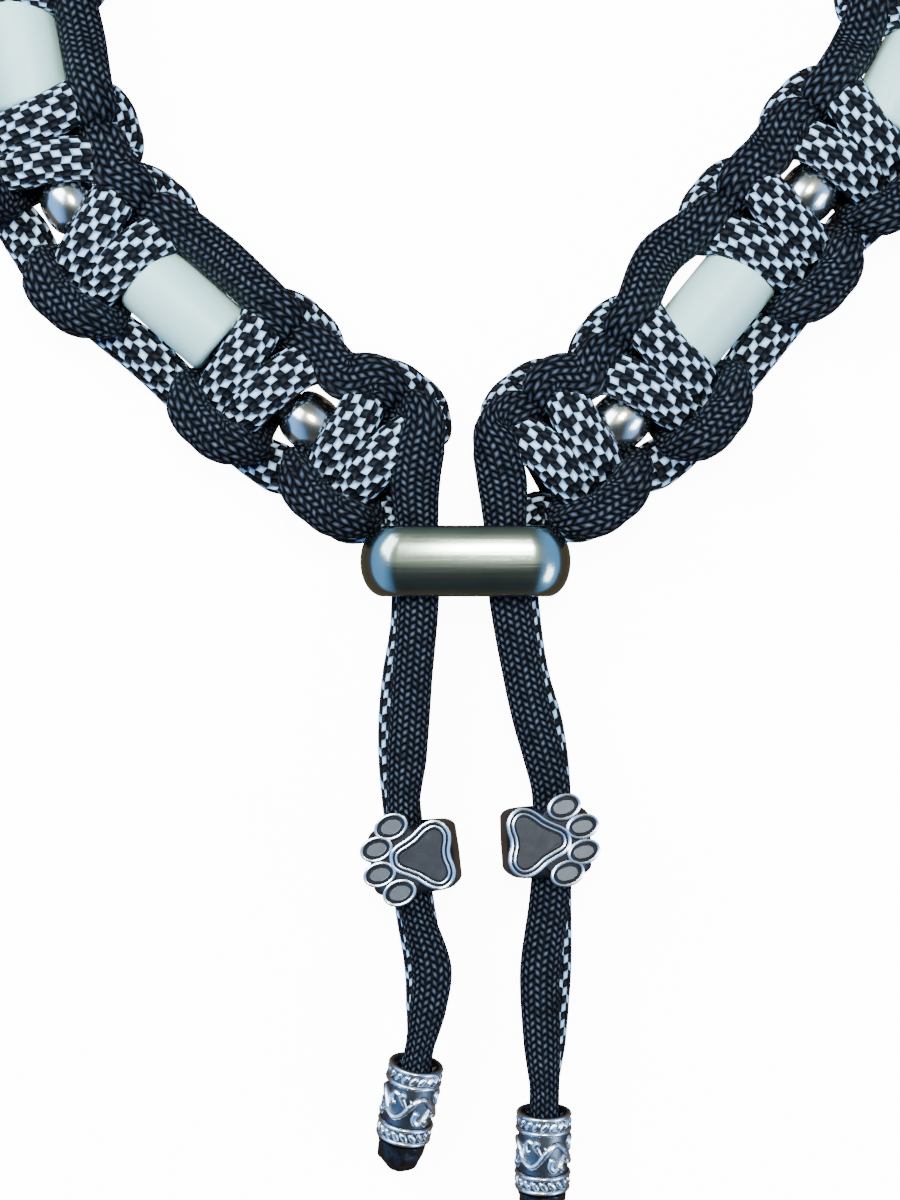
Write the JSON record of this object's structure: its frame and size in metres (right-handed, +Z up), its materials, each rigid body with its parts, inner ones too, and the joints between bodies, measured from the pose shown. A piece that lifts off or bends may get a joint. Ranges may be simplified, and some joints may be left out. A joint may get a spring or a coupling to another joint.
{
  "type": "beaded paracord pet collar",
  "caption": "Hand-knotted two-colour cord collar with ceramic tubes and metal beads, an oval cord slider and two tassel ends with paw-shaped beads.",
  "frame": {"origin": "middle of the whole collar as it lies flat, on the surface it rests on", "axes": "+Z up from the surface; +Y from the tassels towards the far side of the ring; +X to the right seen from above"},
  "size_m": [0.1147, 0.1951, 0.0112],
  "materials": {
    "black_cord": "braided nylon, matt with soft highlights",
    "patterned_cord": "braided nylon, white with black diamonds",
    "core_cord": "braided nylon, hidden",
    "ceramic": "glazed pale green-grey, gloss",
    "satin_steel": "satin",
    "antique_silver": "antique silver with darkened recesses",
    "melted_cord": "melted nylon, semi-gloss"
  },
  "bodies": {
    "collar": {"black_cord": "black_cord", "patterned_cord": "patterned_cord", "core_cord": "core_cord", "left_end_bead": "antique_silver", "right_end_bead": "antique_silver", "left_cord_tip": "melted_cord", "right_cord_tip": "melted_cord"},
    "slider": {"slider": "satin_steel"},
    "left_paw_bead": {"left_paw_bead": "antique_silver"},
    "right_paw_bead": {"right_paw_bead": "antique_silver"},
    "metal_bead_01": {"metal_bead_01": "satin_steel"},
    "ceramic_tube_01": {"ceramic_tube_01": "ceramic"},
    "metal_bead_02": {"metal_bead_02": "satin_steel"},
    "ceramic_tube_02": {"ceramic_tube_02": "ceramic"},
    "metal_bead_03": {"metal_bead_03": "satin_steel"},
    "ceramic_tube_03": {"ceramic_tube_03": "ceramic"},
    "metal_bead_04": {"metal_bead_04": "satin_steel"},
    "ceramic_tube_04": {"ceramic_tube_04": "ceramic"},
    "metal_bead_05": {"metal_bead_05": "satin_steel"},
    "ceramic_tube_05": {"ceramic_tube_05": "ceramic"},
    "metal_bead_06": {"metal_bead_06": "satin_steel"},
    "ceramic_tube_06": {"ceramic_tube_06": "ceramic"},
    "metal_bead_07": {"metal_bead_07": "satin_steel"},
    "ceramic_tube_07": {"ceramic_tube_07": "ceramic"},
    "metal_bead_08": {"metal_bead_08": "satin_steel"},
    "ceramic_tube_08": {"ceramic_tube_08": "ceramic"},
    "metal_bead_09": {"metal_bead_09": "satin_steel"},
    "ceramic_tube_09": {"ceramic_tube_09": "ceramic"},
    "metal_bead_10": {"metal_bead_10": "satin_steel"}
  },
  "joints": [
    {"name": "slider_slide", "type": "slide", "parent": "collar", "child": "slider", "axis": [0, -1, 0], "range_m": [0, 0.008]},
    {"name": "left_paw_slide", "type": "slide", "parent": "collar", "child": "left_paw_bead", "axis": [0.1305, -0.9914, 0], "range_m": [-0.003, 0.002]},
    {"name": "right_paw_slide", "type": "slide", "parent": "collar", "child": "right_paw_bead", "axis": [0, -1, 0], "range_m": [-0.003, 0.002]},
    {"name": "metal_bead_01_spin", "type": "hinge", "parent": "collar", "child": "metal_bead_01", "pos_m": [-0.0173, -0.0142, 0.0048], "axis": [-0.787, 0.617, 0], "continuous": true},
    {"name": "ceramic_tube_01_spin", "type": "hinge", "parent": "collar", "child": "ceramic_tube_01", "pos_m": [-0.0305, -0.0023, 0.0048], "axis": [-0.7466, 0.6652, 0], "continuous": true},
    {"name": "metal_bead_02_spin", "type": "hinge", "parent": "collar", "child": "metal_bead_02", "pos_m": [-0.0423, 0.0086, 0.0048], "axis": [-0.5162, 0.8564, 0], "continuous": true},
    {"name": "ceramic_tube_02_spin", "type": "hinge", "parent": "collar", "child": "ceramic_tube_02", "pos_m": [-0.047, 0.0238, 0.0048], "axis": [-0.2015, 0.9795, 0], "continuous": true},
    {"name": "metal_bead_03_spin", "type": "hinge", "parent": "collar", "child": "metal_bead_03", "pos_m": [-0.0488, 0.0395, 0.0048], "axis": [-0.0142, 0.9999, 0], "continuous": true},
    {"name": "ceramic_tube_03_spin", "type": "hinge", "parent": "collar", "child": "ceramic_tube_03", "pos_m": [-0.0475, 0.0555, 0.0048], "axis": [0.2555, 0.9668, 0], "continuous": true},
    {"name": "metal_bead_04_spin", "type": "hinge", "parent": "collar", "child": "metal_bead_04", "pos_m": [-0.041, 0.07, 0.0048], "axis": [0.58, 0.8146, 0], "continuous": true},
    {"name": "ceramic_tube_04_spin", "type": "hinge", "parent": "collar", "child": "ceramic_tube_04", "pos_m": [-0.0295, 0.0813, 0.0048], "axis": [0.8346, 0.5509, 0], "continuous": true},
    {"name": "metal_bead_05_spin", "type": "hinge", "parent": "collar", "child": "metal_bead_05", "pos_m": [-0.0148, 0.0877, 0.0048], "axis": [0.9699, 0.2437, 0], "continuous": true},
    {"name": "ceramic_tube_05_spin", "type": "hinge", "parent": "collar", "child": "ceramic_tube_05", "pos_m": [0.0011, 0.0893, 0.0048], "axis": [0.9997, -0.023, 0], "continuous": true},
    {"name": "metal_bead_06_spin", "type": "hinge", "parent": "collar", "child": "metal_bead_06", "pos_m": [0.0168, 0.0871, 0.0048], "axis": [0.9515, -0.3076, 0], "continuous": true},
    {"name": "ceramic_tube_06_spin", "type": "hinge", "parent": "collar", "child": "ceramic_tube_06", "pos_m": [0.031, 0.0799, 0.0048], "axis": [0.7967, -0.6044, 0], "continuous": true},
    {"name": "metal_bead_07_spin", "type": "hinge", "parent": "collar", "child": "metal_bead_07", "pos_m": [0.042, 0.0683, 0.0048], "axis": [0.5347, -0.8451, 0], "continuous": true},
    {"name": "ceramic_tube_07_spin", "type": "hinge", "parent": "collar", "child": "ceramic_tube_07", "pos_m": [0.048, 0.0536, 0.0048], "axis": [0.1922, -0.9814, 0], "continuous": true},
    {"name": "metal_bead_08_spin", "type": "hinge", "parent": "collar", "child": "metal_bead_08", "pos_m": [0.0484, 0.0375, 0.0048], "axis": [-0.1072, -0.9942, 0], "continuous": true},
    {"name": "ceramic_tube_08_spin", "type": "hinge", "parent": "collar", "child": "ceramic_tube_08", "pos_m": [0.0446, 0.0215, 0.0048], "axis": [-0.467, -0.8843, 0], "continuous": true},
    {"name": "metal_bead_09_spin", "type": "hinge", "parent": "collar", "child": "metal_bead_09", "pos_m": [0.0345, 0.0096, 0.0048], "axis": [-0.6427, -0.7661, 0], "continuous": true},
    {"name": "ceramic_tube_09_spin", "type": "hinge", "parent": "collar", "child": "ceramic_tube_09", "pos_m": [0.0247, -0.0022, 0.0048], "axis": [-0.6326, -0.7744, 0], "continuous": true},
    {"name": "metal_bead_10_spin", "type": "hinge", "parent": "collar", "child": "metal_bead_10", "pos_m": [0.0149, -0.0141, 0.0048], "axis": [-0.7532, -0.6578, 0], "continuous": true}
  ]
}
